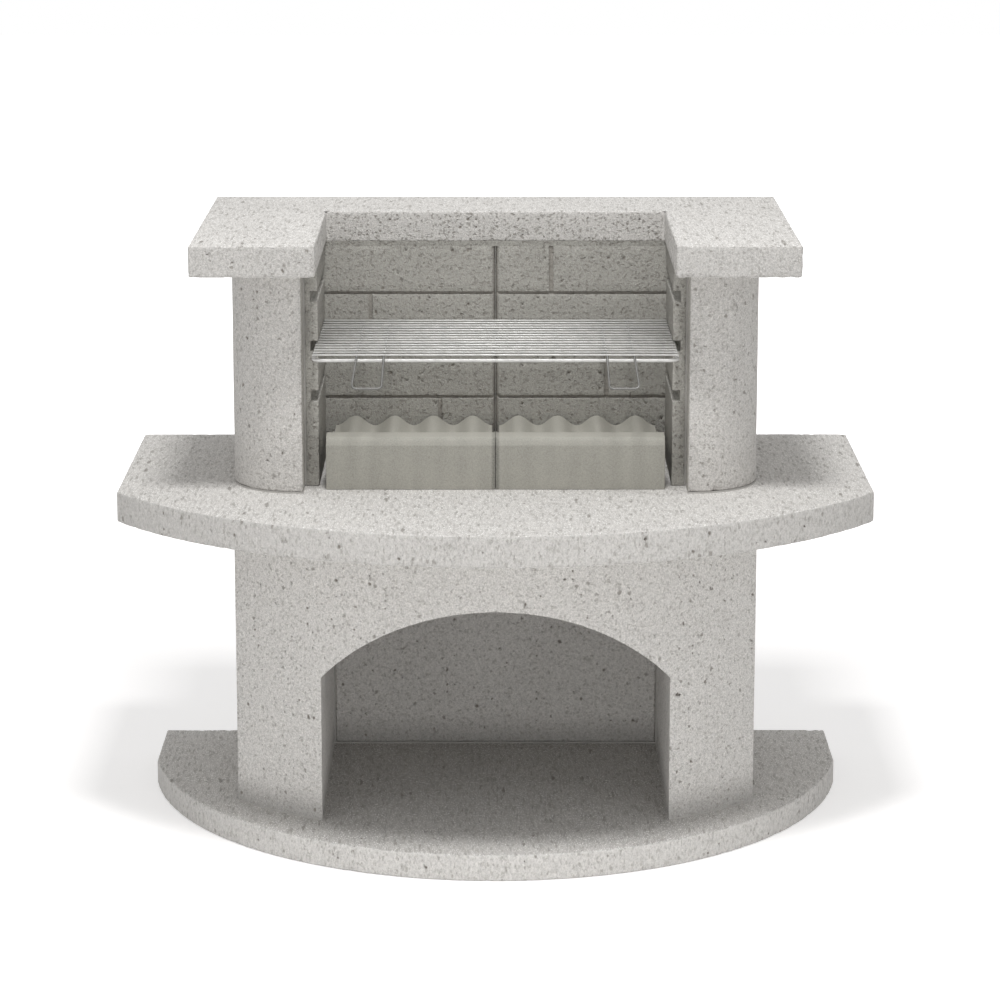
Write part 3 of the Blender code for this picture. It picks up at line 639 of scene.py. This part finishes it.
# Wire rack. A frame rod bent to a rectangle, two long wires bent into grips at the front, and
# fifteen straight wires welded across them. It is bright chrome over drawn steel.
CHROME_TONE = (0.50, 0.495, 0.48)
SHADED_WIRE_TONE = (0.18, 0.178, 0.17)
PLATING = 0.6             # share of bare metal in the satin plate
BLOOMED = 0.84            # tone where the plate has bloomed, against bright plate
ROD = 0.0055
LONG_WIRE = 0.0035
CROSS_WIRE = 0.003
ROUND_SIDES = 14
WIRE_END = 0.0006         # rounding of a cropped wire end
RACK_CORNER = 0.014
GRIP_CORNER = 0.006
GRIP_SPLAY = (0.003, 0.007)  # how far the inner and outer legs lean
WELD = 0.0016


def wire_metal(name, tone):
    """Plated wire: faint lines along the drawing, and a bloom from heat and washing."""
    finish = Finish(name, 0.50, PLATING)
    place = finish.node("TexCoord").outputs["Object"]
    bloom = finish.noise(place, 90.0, 3.0)
    drawn = finish.node("Mapping", {}, {"Vector": place, "Scale": (40.0, 900.0, 900.0)})
    lines = finish.noise(drawn.outputs[0], 1.0)
    worn = [BLOOMED * part for part in tone]
    finish.feed(finish.surface.inputs["Base Color"],
                finish.mix(bloom.between(0.35, 0.75), tone, worn))
    finish.feed(finish.surface.inputs["Roughness"], bloom * 0.14 + lines * 0.10 + 0.36)
    return finish.material


CHROME = wire_metal("chromed_wire", CHROME_TONE)
# A dark copy of the plate for the long wires: painted shade and reflection.
SHADED_CHROME = wire_metal("shaded_chromed_wire", SHADED_WIRE_TONE)


def bent_wire(shape, corners, diameter, bend, closed=False):
    """A round wire: straight runs, with a turn of the bend radius at every inner corner."""
    corners = [Vector(corner) for corner in corners]
    facing = (corners[1] - corners[0]).to_track_quat("Z", "Y").to_matrix().to_4x4()
    start = bmesh.ops.create_circle(shape, radius=diameter / 2, segments=ROUND_SIDES,
                                    matrix=Matrix.Translation(corners[0]) @ facing)["verts"]
    ring = list({edge for vert in start for edge in vert.link_edges})
    first_ring, at = ring, corners[0]
    for index in range(1, len(corners)):
        run = (corners[index] - corners[index - 1]).normalized()
        last = index == len(corners) - 1
        turn, reach = 0.0, 0.0
        if not last:
            after = (corners[index + 1] - corners[index]).normalized()
            turn = run.angle(after)
            reach = bend * math.tan(turn / 2)
        made = bmesh.ops.extrude_edge_only(shape, edges=ring)["geom"]
        ring = [item for item in made if isinstance(item, bmesh.types.BMEdge)
                and len(item.link_faces) == 1]
        target = corners[index] - run * reach
        bmesh.ops.translate(shape, vec=target - at,
                            verts=[item for item in made if isinstance(item, bmesh.types.BMVert)])
        at = target
        if turn:
            inwards = (after - run * after.dot(run)).normalized()
            made = bmesh.ops.spin(shape, geom=ring, cent=at + inwards * bend,
                                  axis=run.cross(after).normalized(), angle=turn,
                                  steps=max(2, math.ceil(turn / math.radians(13))),
                                  use_duplicate=False)["geom_last"]
            ring = [item for item in made if isinstance(item, bmesh.types.BMEdge)]
            at = corners[index] + after * reach
    if closed:
        bmesh.ops.remove_doubles(shape, verts=shape.verts, dist=0.00005)
    else:
        for end in (first_ring, ring):
            bmesh.ops.contextual_create(shape, geom=end)
    bmesh.ops.recalc_face_normals(shape, faces=shape.faces)


def rack_piece(shape, name, nodes, metal=CHROME):
    return finish_piece(shape, name, metal, "rack", nodes, sharp=50.0)


frame_low, frame_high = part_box("rack_frame")
rod_level = (frame_low[2] + frame_high[2]) / 2
frame_half = frame_high[0] - ROD / 2
frame_front, frame_rear = frame_low[1] + ROD / 2, frame_high[1] - ROD / 2
shape = bmesh.new()
bent_wire(shape, [(0.0, frame_rear, rod_level), (frame_half, frame_rear, rod_level),
                  (frame_half, frame_front, rod_level), (-frame_half, frame_front, rod_level),
                  (-frame_half, frame_rear, rod_level), (0.0, frame_rear, rod_level)],
          ROD, RACK_CORNER, closed=True)
rack_piece(shape, "rack_rod", ["rack_frame"])

cross_wires = sorted(name for name in frame["nodes"] if name.startswith("rack_wire_"))
cross_places = []
for name in cross_wires:
    low, high = (Vector(corner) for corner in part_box(name))
    middle = (low + high) / 2
    cross_places.append(middle)
    shape = bmesh.new()
    lying = Matrix.Translation(middle) @ Matrix.Rotation(math.pi / 2, 4, "Y")
    bmesh.ops.create_cone(shape, cap_ends=True, segments=ROUND_SIDES, radius1=CROSS_WIRE / 2,
                          radius2=CROSS_WIRE / 2, depth=high.x - low.x, matrix=lying)
    rims = [edge for edge in shape.edges if edge.calc_face_angle(0.0) > math.radians(80)]
    bmesh.ops.bevel(shape, geom=rims, offset=WIRE_END, offset_type="OFFSET", segments=2,
                    profile=0.5, affect="EDGES", material=-1)
    rack_piece(shape, name.replace("rack_wire", "cross_wire"), [name])

long_places = []
for side, sign in (("left", -1), ("right", 1)):
    node = "rack_handle_" + side
    low, high = (Vector(corner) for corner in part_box(node))
    far, near = (low.x, high.x) if sign < 0 else (high.x, low.x)
    outer = far - sign * (LONG_WIRE / 2 + GRIP_SPLAY[1])
    inner = near + sign * LONG_WIRE / 2
    level, grip = high.z - LONG_WIRE / 2, low.z + LONG_WIRE / 2
    rear, front = high.y, low.y + LONG_WIRE / 2
    fold = frame_front - (ROD + LONG_WIRE) / 2
    long_places += [outer, inner]
    shape = bmesh.new()
    bent_wire(shape, [(inner, rear, level), (inner, fold, level),
                      (inner + sign * GRIP_SPLAY[0], front, grip),
                      (outer + sign * GRIP_SPLAY[1], front, grip),
                      (outer, fold, level), (outer, rear, level)], LONG_WIRE, GRIP_CORNER)
    # The long wires wear the dark copy of the plate, a painted shade.
    rack_piece(shape, "long_wire_" + side, [node], SHADED_CHROME)

shape = bmesh.new()
for place in cross_places:
    for across_at in [*long_places, -frame_half, frame_half]:
        seat = CROSS_WIRE / 2
        bead = Matrix.Translation((across_at, place.y, place.z - seat))
        bmesh.ops.create_icosphere(shape, subdivisions=1, radius=WELD,
                                   matrix=bead @ Matrix.Diagonal((1.0, 1.0, 0.6, 1.0)))
rack_piece(shape, "rack_welds", [])


# Cover slab. One U-shaped casting bonded on the columns; its notch lets the smoke out over the
# fire. The face at the back of the notch was hacked back with a bush hammer, so it is coarser.
HACKED = {"tone": [0.98 * part for part in CONCRETE_TONE], "grain": 1.2, "specks": 1.9}
NOTCH_REAR = concrete("notch_rear", **HACKED, top=EVEN, upright=(1.0, 1.0, 1.2))
NOTCH_SIDES = concrete("notch_sides", **HACKED, top=EVEN, upright=(1.0, 0.35, 0.9))
NOTCH_LIP = 0.0035        # how far the wings reach in over the side lining
# Painted light: the cover's level faces are made paler and its upright faces darker.
COVER_CONCRETE = concrete("cover_concrete", grain=0.9, painted_face_light=(1.065, 0.865))
cover = cast_block("cover_slab", COVER_CONCRETE)
cover.data.materials.append(NOTCH_REAR)
cover.data.materials.append(NOTCH_SIDES)
notch_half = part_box("side_lining_right")[0][0] - NOTCH_LIP
for face in cover.data.polygons:
    upright = abs(face.normal.z) < LEVEL and face.normal.y < 0.5
    if upright and abs(face.center.x) < notch_half + ARRIS_ROUND:
        face.material_index = 2 if abs(face.normal.x) > LEVEL else 1
